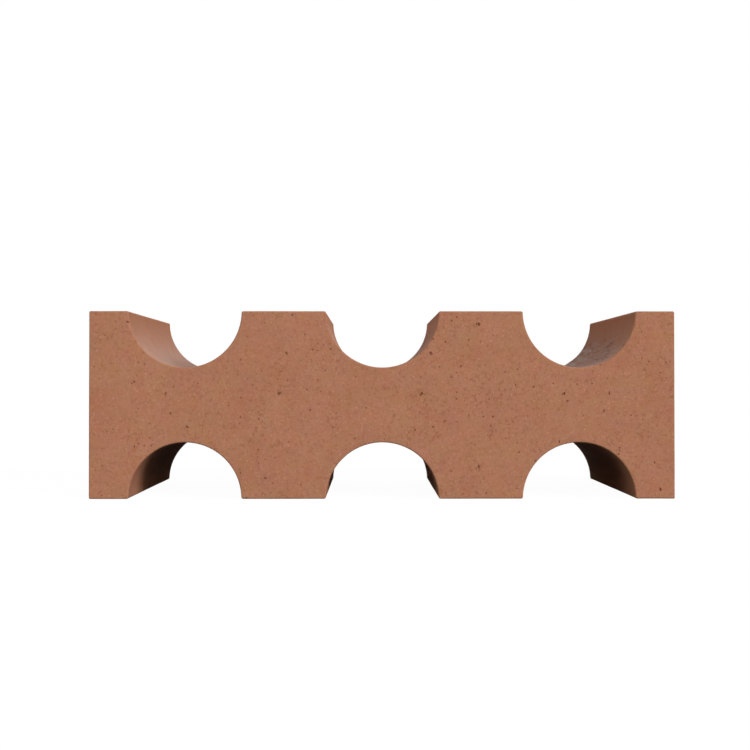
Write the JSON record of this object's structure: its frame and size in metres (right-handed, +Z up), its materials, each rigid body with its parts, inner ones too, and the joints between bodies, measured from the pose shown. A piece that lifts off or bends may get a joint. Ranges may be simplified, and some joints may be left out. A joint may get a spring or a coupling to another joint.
{
  "type": "breeze block",
  "caption": "Long square-section terracotta breeze block with half-round notches through its top and bottom beds, for open screen walls.",
  "frame": {"origin": "middle of the lower bed, on the plane that the block stands on", "axes": "+X along the wall towards the right end, +Y from the front face that the picture shows to the back face, +Z up"},
  "size_m": [0.39, 0.125, 0.125],
  "materials": {
    "terracotta": "matte"
  },
  "bodies": {
    "root": {"breeze_block": "terracotta"}
  },
  "joints": []
}
